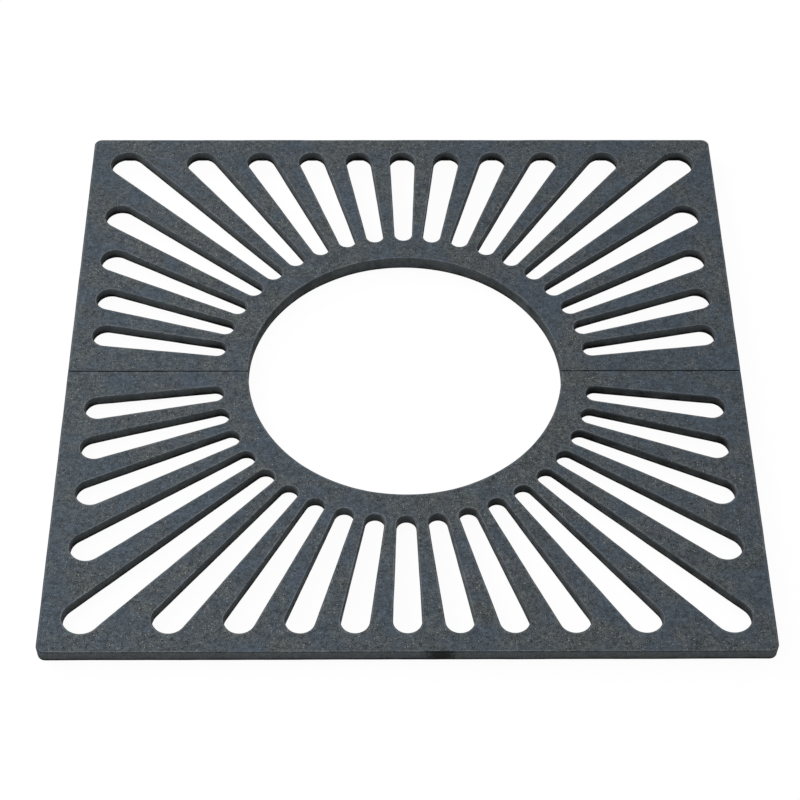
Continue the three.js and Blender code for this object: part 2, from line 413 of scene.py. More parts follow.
def flat_face(row):
    """One flat of a half, bordered by that row of all walls. Every other row of the lattice is
    shifted by half a step, and all keep a margin to the borders, which is widest at the rim. Only
    triangles with their middle in the iron stay. Returns points and triangles."""
    outline = np.concatenate([
        ring[:, row, :-1].reshape(-1, 3),
        seam_run(row, True)[:-1],
        rim[:, row, 1:].reshape(-1, 3)[::-1],
        seam_run(row, False)[:0:-1],
    ])
    holes = slots[:, row].reshape(-1, 3)
    edges = [loop_edges(0, len(outline))]
    per_slot = slots.shape[2]
    edges += [loop_edges(len(outline) + slot * per_slot, per_slot) for slot in range(SLOTS)]
    reach = ceil(HALF / FLAT_STEP)
    line, place = np.mgrid[0:ceil(HALF / ROW_STEP), -reach:reach]
    x = (FLAT_STEP * (place + 0.5 * (line % 2))).ravel()
    y = SEAM + (ROW_STEP * line).ravel()

    def in_iron(x, y, margin):
        inset = rim_profile[0, row]
        corner = (CORNER if row == 0 else RIM_CORNER + RIM_WIDTH) - inset
        edge = polygon_reach(np.arctan2(y, x), HALF - inset, corner, 4)
        far = np.hypot(x, y)
        in_plate = (far > ring_profile[0, row] + margin) & (far < edge - RIM_MARGINS * margin)
        return in_plate & (y > SEAM + margin) & (slot_gap(x, y) > slot_profile[0, row] + margin)

    keep = in_iron(x, y, BORDER_MARGIN)
    lattice = np.stack([x[keep], y[keep]], axis=1)
    plan = np.concatenate([outline[:, :2], holes[:, :2], lattice])
    points, _, triangles = delaunay_2d_cdt(
        [Vector(p) for p in plan.tolist()], np.concatenate(edges).tolist(), [], 0, SAME_POINT, False)[:3]
    points = np.array(points)
    triangles = np.array(triangles)
    middle = points[triangles].mean(axis=1)
    triangles = triangles[in_iron(middle[:, 0], middle[:, 1], 0)]
    return np.c_[points, np.full(len(points), outline[0, 2])], triangles


top_points, top_triangles = flat_face(0)
under_points, under_triangles = flat_face(-1)
print("triangles: top", len(top_triangles), "underside", len(under_triangles))


# %% [markdown]
# ## The cut ends
# Along the seam a half ends in two cut faces. A flat lid would close them, but then their edges would
# be sharp, and the seam would look like a line drawn with a pen. So the outline of the cut first goes
# round an arris in three steps, and only the last of its rings is filled.

# %% Close the seam
SEAM_STEPS = (0, 30, 60, 90)


def seam_lid(left):
    """Closes the cut end of a half, on one side of the opening. The outline of the cut moves inwards
    by one minus cosine times the seam's arris, while it moves towards the other half by the sine.
    Its last ring is filled flat. Returns the rings and the triangles of the lid."""
    column = -1 if left else 0
    outline = np.concatenate([
        seam_run(0, left),
        rim[column, 1:-1, column],
        seam_run(-1, left)[::-1],
        ring[column, -2:0:-1, column],
    ])[:, [0, 2]]
    along = np.roll(outline, -1, axis=0) - outline
    along /= np.linalg.norm(along, axis=1)[:, None]
    across = along + np.roll(along, 1, axis=0)
    across /= np.linalg.norm(across, axis=1)[:, None]
    inwards = np.stack([across[:, 1], -across[:, 0]], axis=1) * (-1 if left else 1)
    turn = np.radians(SEAM_STEPS)[:, None]
    rings = outline + SEAM_ARRIS * (1 - np.cos(turn))[..., None] * inwards
    depth = np.broadcast_to(SEAM - SEAM_ARRIS * np.sin(turn), rings.shape[:2])
    rings = np.stack([rings[..., 0], depth, rings[..., 1]], axis=-1)
    triangles = tessellate_polygon([[Vector(p) for p in rings[-1].tolist()]])
    return rings[None], np.array(triangles)


lids = [seam_lid(False), seam_lid(True)]
print("lid rings:", lids[0][0].shape, "triangles:", len(lids[0][1]))


# %% [markdown]
# ## From grids to one closed mesh
# All grids use the same formulas at their borders and share their points there. So they can be put
# into one mesh and welded. After that every edge has a face on both sides, and Blender can tell the
# outside from the inside.

# %% Join and weld grids
WELD_GAP = 2e-6


def grid_faces(grid, wrap=False):
    """Four-sided faces between neighbours in each block of a grid. wrap joins the last column to
    the first."""
    index = np.arange(grid[..., 0].size).reshape(grid.shape[:3])
    if wrap:
        index = np.concatenate([index, index[:, :, :1]], axis=2)
    corners = [index[:, :-1, :-1], index[:, :-1, 1:], index[:, 1:, 1:], index[:, 1:, :-1]]
    return np.stack(corners, axis=-1).reshape(-1, 4)


def welded_mesh(name, parts):
    """One mesh from parts, each with points, lists of faces, and marks. Points that fall together
    are merged, and the faces are turned outwards."""
    points = np.concatenate([part["points"].reshape(-1, 3) for part in parts])
    faces = []
    start = 0
    for part in parts:
        for group in part["faces"]:
            faces.extend((np.asarray(group) + start).tolist())
        start += part["points"].size // 3
    mesh = bpy.data.meshes.new(name)
    mesh.from_pydata(points.tolist(), [], faces)
    for mark in ("wear", "painted_shade", "side"):
        values = [np.broadcast_to(part.get(mark, 0), part["points"].shape[:-1]) for part in parts]
        values = np.concatenate([value.ravel() for value in values])
        layer = mesh.attributes.new(mark, "FLOAT", "POINT")
        layer.data.foreach_set("value", values.astype(np.float32))
    shell = bmesh.new()
    shell.from_mesh(mesh)
    bmesh.ops.remove_doubles(shell, verts=shell.verts, dist=WELD_GAP)
    bmesh.ops.dissolve_degenerate(shell, edges=shell.edges, dist=SAME_POINT)
    bmesh.ops.recalc_face_normals(shell, faces=shell.faces)
    if shell.calc_volume(signed=True) < 0:
        bmesh.ops.reverse_faces(shell, faces=shell.faces)
    open_edges = sum(not edge.is_manifold for edge in shell.edges)
    print(name, "vertices", len(shell.verts), "open edges", open_edges)
    shell.to_mesh(mesh)
    shell.free()
    mesh.shade_smooth()
    return mesh


# %% [markdown]
# ## Marks for the painter
# The material has to know where an edge is rubbed, where painted shade darkens the walls, and what is a
# side and not a face. Masks that find edges by themselves are slow and get lost in an export. Here every
# point knows its row in a cross-section, so three numbers on each point say it all: wear, painted shade
# and side.

# %% Mark wear, painted shade and sides
def arris_wear(profile):
    """Wear of the rows of a cross-section, as a column: full on the flat just before the arris, and
    a quarter where its round begins. Feet only touch what stands highest."""
    wear = np.zeros(profile.shape[1])
    wear[1:3] = 1, 0.25
    return wear[:, None]


def side_mark(level):
    """Nothing on the walking face, and full from the foot of the arris down."""
    return np.clip((TOP - level) / ARRIS, 0, 1)


# %% [markdown]
# ## Painted shade
# Painted shade is read from tables of depths under the walking face, in millimetres, with a shade for
# each depth. It stands in for shade: a wall is darker on its arris and at its foot, and some walls in a
# band between them too. A shade over 1 only makes sure that noise in the paint can't break it up.

# %% Read the painted shade from tables
UNDERSIDE_SHADE = 0.3
SLOT_SHADE_TABLE = [0, 0.08, 0.32, 1.1, 4.4, 10.6, 13.5, 16], [0, 0.2, 0.3, 0.1, 0.2, 0.5, 0.9, 1.6]
RING_SHADE_TABLE = [0, 0.08, 0.32, 1.5, 11.5, 19.5, 22.2], [0, 0.2, 0.3, 0.25, 0.4, 0.7, 1.6]
RIM_SHADE_TABLE = [0, 0.08, 0.32, 1.1, 3, 14, 17, 18.8], [0, 0.4, 0.5, 0.3, 0, 0.25, 0.9, 1.6]
BAND_SHADE_TABLE = [0.32, 2, 6, 12, 14], [0, 0.4, 0.4, 0.05, 0]
RING_END = 60 * MM
RIM_END = 30 * MM


def table_shade(profile, table):
    """Painted shade of the rows of a cross-section, from a table."""
    return np.interp((TOP - profile[1]) / MM, *table)


def wall_shade(profile, table, limit):
    """Painted shade of a wall's rows, as a column. Low rows beyond the limit belong to the underside."""
    across, level = profile
    painted_shade = table_shade(profile, table)
    painted_shade[(across > limit) & (level < UNDERSIDE + 1 * MM)] = UNDERSIDE_SHADE
    return painted_shade[:, None]


def shade_band(profile, share):
    """The band of painted shade, times its share at each place."""
    return table_shade(profile, BAND_SHADE_TABLE)[:, None] * share


def slot_shade(band_amount):
    """Painted shade of the slot walls: that of their depth, and more of it near both ends of a slot,
    where less light gets in. At the ring the gain is greatest next to the seam. The argument says how
    strong the band of painted shade is on the slots whose rays point to -X."""
    reach = np.linalg.norm(slots[..., :2], axis=-1)
    tip = reach.max(axis=(1, 2), keepdims=True)
    near_ring = np.clip(1 - (reach - SLOT_START) / RING_END, 0, 1)
    near_rim = np.clip(1 - (tip - reach) / RIM_END, 0, 1)
    near_ring *= np.abs(np.cos(slot_turn)) - 0.4 * np.sin(slot_turn)
    painted_shade = wall_shade(slot_profile, SLOT_SHADE_TABLE, 1 * MM) * (0.9 + near_ring + 0.9 * near_rim)
    return painted_shade + shade_band(slot_profile, band_amount * np.clip(-1.5 * np.cos(slot_turn), 0, 1))


def ring_shade():
    """Painted shade of the opening's wall: that of its depth, and a band of it towards the seam."""
    aside = np.abs(ring[..., 0]) / np.linalg.norm(ring[..., :2], axis=-1)
    painted_shade = wall_shade(ring_profile, RING_SHADE_TABLE, OPENING + 4 * MM)
    return painted_shade + shade_band(ring_profile, np.clip(2.5 * (aside - 0.4), 0, 1))


# %% [markdown]
# ## All parts of a half
# Two flats, three kinds of wall and the lids of two cut ends make the whole skin of a half. The two
# halves are the same casting, and differ only in the band of painted shade in their slots.

# %% Gather the parts of a half casting
def casting_parts(band_amount):
    """The flats, walls and lids of one half, with their marks."""
    parts = [
        dict(points=top_points, faces=[top_triangles]),
        dict(points=under_points, faces=[under_triangles], painted_shade=UNDERSIDE_SHADE, side=1),
    ]
    walls = [
        (slots, slot_profile, slot_shade(band_amount)),
        (ring, ring_profile, ring_shade()),
        (rim, rim_profile, wall_shade(rim_profile, RIM_SHADE_TABLE, 4 * MM)),
    ]
    for wall, profile, painted_shade in walls:
        faces = [grid_faces(wall, wrap=wall is slots)]
        parts.append(dict(points=wall, faces=faces, wear=arris_wear(profile), painted_shade=painted_shade,
                          side=side_mark(wall[..., 2])))
    # The lid's rings step into the seam. The same numbers give their side mark and their painted shade,
    # which darkens the gap.
    lid_depth = np.array([0, 0.4, 0.75, 1])[:, None]
    for rings, triangles in lids:
        lid_start = (rings.shape[1] - 1) * rings.shape[2]
        faces = [grid_faces(rings, wrap=True), triangles + lid_start]
        parts.append(dict(points=rings, faces=faces, painted_shade=lid_depth, side=lid_depth))
    return parts


# %% [markdown]
# ## The cast skin
# A sand casting is never quite flat. The mould gives a little and the iron shrinks as it cools, so
# the skin swells and sinks by about a tenth of a millimetre over some centimetres. That breaks up
# the reflection of the sky. The grain of the sand is finer than the grid, and comes in the material.

# %% Let the skin swell
rng = np.random.default_rng(11)
WAVES = 30
wave_length = rng.uniform(14, 120, WAVES) * MM
wave_heading = rng.normal(size=(WAVES, 3))
wave_heading /= np.linalg.norm(wave_heading, axis=1)[:, None]
wave_phase = rng.uniform(0, 2 * pi, WAVES)
wave_weight = np.sqrt(wave_length / wave_length.max())


def swell(points):
    """Height of the skin: a sum of weighted sine waves over the root of their squared weights,
    bent by the hyperbolic tangent so that it never passes the swell."""
    waves = np.sin(points @ (2 * pi * wave_heading / wave_length[:, None]).T + wave_phase)
    return SWELL * np.tanh(waves @ wave_weight / np.sqrt((wave_weight**2).sum()))


def lay_skin(mesh):
    """Moves every point along its own normal by the swell at its place."""
    count = len(mesh.vertices)
    points = np.zeros(3 * count)
    normals = np.zeros(3 * count, np.float32)
    mesh.vertices.foreach_get("co", points)
    mesh.vertex_normals.foreach_get("vector", normals)
    points = points.reshape(-1, 3)
    points = points + normals.reshape(-1, 3) * swell(points)[:, None]
    mesh.vertices.foreach_set("co", points.ravel())
    mesh.update()


# %% [markdown]
# ## Two halves of one pattern
# Both halves come from the same pattern. The front one is turned by half a turn, and its slots on
# the right of the picture get a band of painted shade.

# %% Cast both halves
HALF_TURNS = {"rear": 0, "front": 1}
SLOT_BAND = {"rear": 0, "front": 1}


def add_object(name, data):
    """Puts a mesh, a lamp or a camera into the scene."""
    made = bpy.data.objects.new(name, data)
    bpy.context.scene.collection.objects.link(made)
    return made


def show(mesh, name, node):
    """Puts a finished mesh into the scene as a piece that stands for a CAD node."""
    piece = add_object(name, mesh)
    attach(piece, "root")
    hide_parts(node)
    return piece


castings = []
for half, turns in HALF_TURNS.items():
    casting_mesh = welded_mesh(f"{half}_casting", casting_parts(SLOT_BAND[half]))
    casting_mesh.transform(Matrix.Rotation(turns * pi, 4, "Z"))
    lay_skin(casting_mesh)
    castings.append(show(casting_mesh, f"{half}_casting", f"{half}_half"))
print("triangles in a half:", sum(len(f.vertices) - 2 for f in casting_mesh.polygons))

# %% [markdown]
# ## Joint flanges
# Under the seam each half has two flanges, one on each side of the opening, and bolts draw them
# together. Only small pads round the bolts touch the other half, filed until the seam closes evenly.
# A fillet runs between flange and plate, but it stops at the pads, where the washers need flat iron.
# So the flange is one cross-section, whose sizes change on its way along the seam.

# %% Carry the flange's section along the seam
FLANGE_OUTER = 10.6 * MM
FLANGE_START = (RIB_INNER + RIB_OUTER) / 2
FLANGE_END = 448 * MM
FLANGE_SLOPE = 9 * MM
FLANGE_EDGE = 1 * MM
FLANGE_FILLET = 3 * MM
BURIED = UNDERSIDE + 3 * MM
PAD_HALF = 13 * MM
PAD_EASE = 1.2 * MM
PAD_FACE = 0.06 * MM
SHARP_CAST = radians(40)
BOLT_LEVEL = UNDERSIDE / 2
bolt_names = ("right_inner", "right_outer", "left_inner", "left_outer")
bolt_x = {name: sum(corner.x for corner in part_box(f"bolt_{name}")) / 2 for name in bolt_names}
right_bolts = [bolt_x["right_inner"], bolt_x["right_outer"]]


def flange_stations():
    """Places along the flange: every 5 mm, and closer where a pad begins or ends and on the slope."""
    pad_edges = np.array([-13, -12.7, -12.3, -11.9, -11.6])
    pad_edges = np.concatenate([pad_edges, -pad_edges]) * MM
    near_pads = [bolt + pad_edges for bolt in right_bolts]
    slope = FLANGE_END + np.linspace(-2, 9, 12) * MM
    places = np.concatenate([np.arange(FLANGE_START, FLANGE_END, 5 * MM), *near_pads, slope])
    return np.unique(np.round(places, 6))


def flange_section(x):
    """The flange's outline in the YZ plane at each place x: down the seam side, round the foot, up
    the outer side, and through a hollow fillet into the plate. A pad moves the seam side out, and
    takes the fillet away. At the end the foot rises into the plate, and all roundings shrink."""
    offset = np.min([np.abs(x - bolt) for bolt in right_bolts], axis=0)
    pad = np.clip((PAD_HALF - offset) / PAD_EASE, 0, 1)
    pad = pad * pad * (3 - 2 * pad)
    foot = FOOT + np.clip((x - FLANGE_END) / FLANGE_SLOPE, 0, 1) * (UNDERSIDE - FOOT)
    room = np.clip((UNDERSIDE - foot) / (6 * MM), 0.01, 1)
    face = blend(SEAM_FACE, PAD_FACE, pad)
    edge = FLANGE_EDGE * room
    fillet = FLANGE_FILLET * room * blend(1, 0.05, pad)
    high = np.maximum(UNDERSIDE - fillet, foot + edge)
    inner_top = np.maximum(UNDERSIDE - 0.4 * MM, foot + edge)
    quarter = np.linspace(0, pi / 2, 5)
    hollow = np.linspace(0, pi / 2, 6)
    steps = np.linspace(0, 1, 5)[1:-1]
    line = [(face + 0.8 * MM, BURIED), (face + 0.8 * MM, UNDERSIDE + 0.4 * MM), (face, inner_top)]
    line += [(face, blend(inner_top, foot + edge, step)) for step in steps]
    line += [(face + edge * (1 - cos(turn)), foot + edge * (1 - sin(turn))) for turn in quarter]
    line += [(FLANGE_OUTER - edge * (1 - sin(turn)), foot + edge * (1 - cos(turn))) for turn in quarter]
    line += [(FLANGE_OUTER, blend(foot + edge, high, step)) for step in steps]
    line += [(FLANGE_OUTER + fillet * (1 - cos(turn)), high + (UNDERSIDE - high) * sin(turn))
             for turn in hollow]
    line += [(FLANGE_OUTER + fillet, BURIED)]
    return np.stack([np.stack(np.broadcast_arrays(x, y, z), axis=-1) for y, z in line], axis=1)


# %% [markdown]
# ## Bolt holes
# The holes in the real flanges are drilled after casting, so their edges are sharp. Here too a round
# bar is taken away from the finished flange, by a Boolean modifier with the exact solver. The drill
# is a mesh like all others, and is thrown away afterwards.

# %% Drill the flanges and fit them
HOLE_RADIUS = 4.5 * MM
DRILL_SPAN = -2 * MM, 14 * MM


def tube_mesh(name, x, radius, y_from, y_to, count=48):
    """A closed round bar along Y: two rings of points and a flat end on each."""
    turn = np.linspace(0, 2 * pi, count, endpoint=False)
    circle = np.stack([x + radius * np.cos(turn), 0 * turn, BOLT_LEVEL + radius * np.sin(turn)], axis=-1)
    rings = np.stack([circle + (0, y_from, 0), circle + (0, y_to, 0)])[None]
    ends = [np.arange(count)[None], np.arange(count, 2 * count)[None]]
    faces = [grid_faces(rings, wrap=True), *ends]
    return welded_mesh(name, [dict(points=rings, faces=faces, painted_shade=1, side=1)])


def applied(piece):
    """Makes the result of a piece's modifiers its own mesh."""
    graph = bpy.context.evaluated_depsgraph_get()
    finished = bpy.data.meshes.new_from_object(piece.evaluated_get(graph))
    piece.modifiers.clear()
    piece.data = finished


stations = flange_stations()
sections = flange_section(stations)[None]
rows, columns = sections.shape[1:3]
flange_ends = [np.arange(columns)[None], np.arange((rows - 1) * columns, rows * columns)[None]]
# Painted shade on the flanges under the grate, darkest on the side that faces the seam.
flange_shade = np.where(sections[..., 1] < 1 * MM, 0.8, UNDERSIDE_SHADE)
flange_part = dict(faces=[grid_faces(sections, wrap=True), *flange_ends], painted_shade=flange_shade, side=1)
for half, turns in HALF_TURNS.items():
    for hand, mirror in {"right": 1, "left": -1}.items():
        name = f"{half}_flange_{hand}"
        placed = dict(flange_part, points=sections * (mirror, 1, 1))
        flange = show(welded_mesh(name, [placed]), name, f"{half}_half")
        for bolt in right_bolts:
            drill_mesh = tube_mesh("drill", mirror * bolt, HOLE_RADIUS, *DRILL_SPAN)
            drill = add_object("drill", drill_mesh)
            cut = flange.modifiers.new("bolt hole", "BOOLEAN")
            cut.object = drill
            cut.solver = "EXACT"
            applied(flange)
            bpy.data.objects.remove(drill)
        flange.data.transform(Matrix.Rotation(turns * pi, 4, "Z"))
        flange.data.set_sharp_from_angle(angle=SHARP_CAST)
        castings.append(flange)
print("flange pieces:", len(castings) - 2, "vertices in the last:", len(flange.data.vertices))

# %% [markdown]
# ## Bolt sets
# Four M8 bolts close the seam, each with two flat washers, a spring washer and a nut. All of them
# are turned shapes: a radius that depends on the height, and for the hexagons on the angle too. A
# flat cone takes the corners off each hexagon. Where it meets the six flats, its edge dips in an arc
# on each of them. In the thread the radius follows a zigzag that climbs as it turns.

# %% Shape turned parts
THREAD_RADIUS = 3.95 * MM
THREAD_DEPTH = 0.62 * MM
THREAD_PITCH = 1.25 * MM
THREAD_LENGTH = 24 * MM
SHANK_RADIUS = 3.97 * MM
BORE = 4.1 * MM
BORE_CUT = 0.65 * MM
HEX_APOTHEM = 6.5 * MM
HEX_CORNER = 0.35 * MM
HEX_FACE = 6.1 * MM
CONE = tan(radians(30))
CONE_STEPS = (0.02, 0.35, 0.7, 1)
HEAD_HEIGHT = 5.3 * MM
AROUND = 96
around = np.linspace(0, 2 * pi, AROUND, endpoint=False)
hexagon = polygon_reach(around, HEX_APOTHEM, HEX_CORNER, 6)


def lathe(rows, wrap_rows=False):
    """Points from a list of (radius, height) pairs, each a number or one value for each angle. With
    wrap_rows, the last row is joined to the first."""
    rows = rows + rows[:1] if wrap_rows else rows
    radius = np.stack([np.broadcast_to(row[0], AROUND) for row in rows])
    height = np.stack([np.broadcast_to(row[1], AROUND) for row in rows])
    points = from_polar(radius, around, height)[None]
    return dict(points=points, faces=[grid_faces(points, wrap=True)])


def cone_rows(base, rise, steps):
    """A flat cone of 30 degrees on the hexagon: the radius goes from the face circle to the
    hexagon's edge, and the height follows it by the tangent of 30 degrees."""
    radii = [blend(HEX_FACE, hexagon, step) for step in steps]
    return [(radius, base + rise * (radius - HEX_FACE) * CONE) for radius in radii]


# %% [markdown]
# ## Outlines to turn
# A bolt could be put together from cylinders, with a Screw modifier for the thread. A list of rows
# gives it in one piece: it follows the outline of the part, as the tool of a lathe does, and every
# row can have another radius at each angle.

# %% Make bolts and nuts
def bolt_rows(length):
    """From the middle of the head's face over the cone and the flats, and along the shank to the
    tip. The thread's radius is the outer one less its depth times a zigzag of the height over the
    pitch less the angle over a full turn."""
    rows = [(share * HEX_FACE, 0) for share in (0, 0.35, 0.7, 0.96)]
    rows += cone_rows(0, 1, CONE_STEPS)
    bearing = HEAD_HEIGHT - 0.3 * MM
    rows += [(hexagon, blend(rows[-1][1], bearing, share)) for share in (0.1, 0.5, 0.96)]
    rows += [(hexagon - 0.12 * MM, bearing), (6.2 * MM, bearing), (6.1 * MM, HEAD_HEIGHT)]
    rows += [(4.4 * MM, HEAD_HEIGHT), (SHANK_RADIUS, HEAD_HEIGHT + 0.4 * MM)]
    thread_start = length - THREAD_LENGTH
    rows += [(SHANK_RADIUS, thread_start - 0.3 * MM)]
    for height in np.arange(thread_start, length - 0.05 * MM, THREAD_PITCH / 8):
        climb = (height / THREAD_PITCH - around / (2 * pi)) % 1
        groove = np.clip(2.6 * np.abs(climb - 0.5) - 0.15, 0, 1)
        fade = np.clip((height - thread_start) / (2 * THREAD_PITCH), 0, 1)
        outer = THREAD_RADIUS - fade * THREAD_DEPTH * (1 - groove)
        tip = THREAD_RADIUS - 1 * MM + (length - height)
        rows += [(np.minimum(outer, tip), height)]
    rows += [(2.9 * MM, length), (1.4 * MM, length), (0, length)]
    return rows


def nut_rows(height):
    """A closed loop: out over the lower face and its cone, up the flats, in over the upper cone, and
    back down the bore, which opens with a small cone at both ends."""
    up = cone_rows(0, 1, CONE_STEPS)
    down = cone_rows(height, -1, CONE_STEPS[::-1])
    flats = [(hexagon, blend(up[-1][1], down[0][1], share)) for share in (0.1, 0.5, 0.9)]
    bore = [(BORE + BORE_CUT, height), (BORE, height - BORE_CUT), (BORE, BORE_CUT), (BORE + BORE_CUT, 0)]
    return up + flats + down + bore


def washer_rows(inner, outer, thick):
    """A flat ring with its edges rounded, as a punched washer has after tumbling."""
    ends = [(inner, 0), (outer, 0), (outer, thick), (inner, thick)]
    loop = [(*end, 0.3 * MM) for end in ends]
    radius, height = rounded_profile([loop[-1], *loop, loop[0]], cuts=3)
    return list(zip(radius, height))


# %% [markdown]
# ## Spring washers
# A spring washer is a turn of wire that has been cut through and twisted a little, so it isn't a
# turned shape. Its section is that of a thick washer, carried once round the bolt.

# %% Make the spring washer
SPRING_SLIT = 1.2 * MM


def spring_washer_part(inner, outer, thick):
    """One turn of square wire with round edges, from slit to slit. It climbs a little on the way,
    which gives it its spring."""
    rise = 0.25 * MM
    wire = np.array(washer_rows(inner, outer, thick - rise))
    gap = 0.5 * SPRING_SLIT / outer
    turn = np.linspace(gap, 2 * pi - gap, AROUND)[:, None]
    climb = rise * turn / (2 * pi)
    points = from_polar(wire[:, 0], turn, wire[:, 1] + climb)[None]
    count = len(wire)
    ends = [np.arange(count)[None], np.arange((AROUND - 1) * count, AROUND * count)[None]]
    return dict(points=points, faces=[grid_faces(points, wrap=True), *ends])


# %% [markdown]
# ## Fasteners in their places
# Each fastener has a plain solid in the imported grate, and its box says where it begins along the bolt
# and how thick it is. The finished shape is made as thick as that, laid on its side, and put there.

# %% Place every fastener in its box
FLAT_WASHER = 4.25 * MM, 7.95 * MM
SPRING_WASHER = 4.3 * MM, 7 * MM
SHARP_TURNED = radians(28)


def fastener_part(kind, thick):
    """The shape of one kind of fastener, standing on height 0."""
    if kind == "bolt":
        return lathe(bolt_rows(thick))
    if kind == "nut":
        return lathe(nut_rows(thick), wrap_rows=True)
    if kind == "spring_washer":
        return spring_washer_part(*SPRING_WASHER, thick)
    return lathe(washer_rows(*FLAT_WASHER, thick), wrap_rows=True)


fasteners = []
for place in bolt_names:
    for kind in ("bolt", "head_washer", "nut_washer", "spring_washer", "nut"):
        node = f"{kind}_{place}"
        low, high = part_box(node)
        name = f"{node}_finish"
        mesh = welded_mesh(name, [fastener_part(kind, high.y - low.y)])
        mesh.transform(Matrix.Rotation(-pi / 2, 4, "X"))
        mesh.transform(Matrix.Translation((bolt_x[place], low.y, BOLT_LEVEL)))
        mesh.set_sharp_from_angle(angle=SHARP_TURNED)
        fasteners.append(show(mesh, name, node))
print("fasteners:", len(fasteners))

# %% [markdown]
# ## Shared effects for the materials
# Both metals have a fine grain and cloudy patches, only in other measures. So each effect is a node
# group with named inputs. It is made once and put into each material with that material's own
# values. Patterns read Object coordinates, which stay fixed to the metal.

# %% Add nodes in one line
def add_node(tree, kind, inputs=None, **settings):
    """Adds a shader node, sets its settings, and gives each named input a value or a link. Returns
    its outputs."""
    made = tree.nodes.new("ShaderNode" + kind)
    for key, value in settings.items():
        setattr(made, key, value)
    for key, value in (inputs or {}).items():
        if isinstance(value, bpy.types.NodeSocket):
            tree.links.new(value, made.inputs[key])
        else:
            made.inputs[key].default_value = value
    return made.outputs


def remap(tree, value, low, high, to_low=0.0, to_high=1.0):
    """Turns the range low to high into another range, smoothly and without going past it."""
    spans = {"Value": value, "From Min": low, "From Max": high, "To Min": to_low, "To Max": to_high}
    return add_node(tree, "MapRange", spans, interpolation_type="SMOOTHSTEP")["Result"]


def calculate(tree, operation, first, second, clamp=False):
    """One sum, product or other step of arithmetic."""
    return add_node(tree, "Math", {0: first, 1: second}, operation=operation, use_clamp=clamp)[0]


def times(tree, first, second, clamp=False):
    """A product."""
    return calculate(tree, "MULTIPLY", first, second, clamp)


def tint(tree, factor, under, over, kind="MIX"):
    """Mixes two colours by a factor."""
    colours = {0: factor, 6: under, 7: over}
    return add_node(tree, "Mix", colours, data_type="RGBA", blend_type=kind)[2]


def noise(tree, vector, scale, detail=3.0, roughness=0.5, distortion=0.0):
    """Cloud noise at a scale given as waves in a metre."""
    values = {"Vector": vector, "Scale": scale, "Detail": detail}
    values.update({"Roughness": roughness, "Distortion": distortion})
    return add_node(tree, "TexNoise", values)[0]


# %% [markdown]
# ## Grain, clouds and rubbing
# Grain and clouds are noise of different sizes. Flecks and pits need a pattern with separate cells,
# and that is what a Voronoi texture gives. Rubbing follows the wear mark, so its group takes that
# mark as an input.

# %% Build the node groups
def new_group(name, outputs, **inputs):
    """An empty node group. An input with no value is a vector, and the others are numbers. Returns
    the group with the sockets of its input and output nodes."""
    group = bpy.data.node_groups.new(name, "ShaderNodeTree")
    for title, value in inputs.items():
        kind = "NodeSocketVector" if value is None else "NodeSocketFloat"
        socket = group.interface.new_socket(title, in_out="INPUT", socket_type=kind)
        if value is not None:
            socket.default_value = value
    for title in outputs:
        group.interface.new_socket(title, in_out="OUTPUT", socket_type="NodeSocketFloat")
    return group, group.nodes.new("NodeGroupInput").outputs, group.nodes.new("NodeGroupOutput").inputs


def sand_grain_group():
    """Grain of the mould's sand. Two sizes of noise give light and dark grains. Small round cells
    give the pits between them. Larger cells have a middle that is closer than a fifth of a cell, and
    where the cell's random colour is high, it becomes a pale flake."""
    group, given, result = new_group(
        "sand_grain", ["Speckle", "Height", "Flakes"], Vector=None, Grain=500.0)
    where = given["Vector"]
    fine = noise(group, where, given["Grain"], detail=2.0, roughness=0.7)
    coarse = noise(group, where, times(group, given["Grain"], 0.37), detail=2.0)
    cells = add_node(group, "TexVoronoi", {"Vector": where, "Scale": given["Grain"]})
    pits = remap(group, cells["Distance"], 0.0, 0.35)
    grains = calculate(group, "ADD", times(group, fine, 0.72), times(group, coarse, 0.28))
    group.links.new(remap(group, grains, 0.28, 0.72), result["Speckle"])
    height = calculate(group, "ADD", times(group, grains, 0.7), times(group, pits, 0.3))
    group.links.new(height, result["Height"])
    spacing = times(group, given["Grain"], 0.4)
    middles = add_node(group, "TexVoronoi", {"Vector": where, "Scale": spacing})
    near = remap(group, middles["Distance"], 0.3, 0.14)
    picked = remap(group, add_node(group, "SeparateColor", {"Color": middles["Color"]})[0], 0.72, 0.9)
    group.links.new(times(group, near, picked), result["Flakes"])
    return group


def patches_group():
    """Cloudy patches: noise that has been warped by its own distortion, with its middle range
    stretched, so that light and dark areas have soft but clear borders."""
    group, given, result = new_group("patches", ["Mask"], Vector=None, Size=8.0, Softness=0.12)
    cloud = noise(group, given["Vector"], given["Size"], detail=5.0, roughness=0.6, distortion=0.7)
    low = calculate(group, "SUBTRACT", 0.5, given["Softness"])
    high = calculate(group, "ADD", 0.5, given["Softness"])
    group.links.new(remap(group, cloud, low, high), result["Mask"])
    return group


def rubbed_edge_group():
    """Rubbed edges: the wear mark of the mesh, broken up by noise, so that only parts of an edge
    are bright."""
    group, given, result = new_group("rubbed_edge", ["Mask"], Wear=0.0, Vector=None, Amount=0.5)
    broken = remap(group, noise(group, given["Vector"], 45.0, detail=4.0, roughness=0.7), 0.3, 0.65)
    rubbed = times(group, given["Wear"], broken)
    group.links.new(times(group, rubbed, given["Amount"], clamp=True), result["Mask"])
    return group


sand_grain = sand_grain_group()
patches = patches_group()
rubbed_edge = rubbed_edge_group()
print("node groups:", [group.name for group in (sand_grain, patches, rubbed_edge)])
